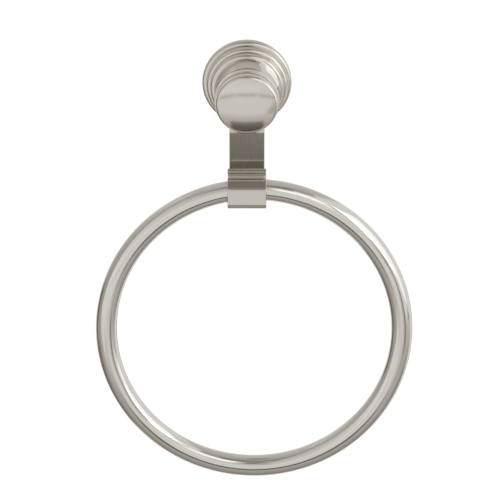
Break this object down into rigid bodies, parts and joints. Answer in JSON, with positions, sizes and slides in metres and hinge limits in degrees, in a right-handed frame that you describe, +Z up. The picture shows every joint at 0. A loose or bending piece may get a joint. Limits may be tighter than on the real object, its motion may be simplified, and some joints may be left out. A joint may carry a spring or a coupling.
{
  "type": "towel ring",
  "caption": "Wall-mounted towel ring: a stepped round post with a domed cap, a folded strap with a loop, and a round tube ring that swings in the loop.",
  "frame": {"origin": "middle of the wall bracket's back face, on the wall, on the post's own axis", "axes": "+Y into the wall, +Z up, +X to the right seen from in front; the ring hangs below the origin"},
  "size_m": [0.1652, 0.043, 0.2302],
  "materials": {
    "satin_nickel_casting": "satin nickel plate on a zinc casting",
    "satin_nickel_strip": "satin nickel plate on brushed strip",
    "satin_nickel_tube": "satin nickel plate on brushed tube",
    "zinc_plated_steel": "dull zinc plate"
  },
  "bodies": {
    "holder": {"post": "satin_nickel_casting", "front_cap": "satin_nickel_casting", "hanger_strap": "satin_nickel_strip", "cap_screw": "zinc_plated_steel", "wall_bracket": "zinc_plated_steel", "set_screw": "zinc_plated_steel"},
    "ring": {"ring": "satin_nickel_tube"}
  },
  "joints": [
    {"name": "ring_swing", "type": "hinge", "parent": "holder", "child": "ring", "pos_m": [0, -0.03454, -0.0472], "axis": [-1, 0, 0], "range_deg": [-10, 90]}
  ]
}
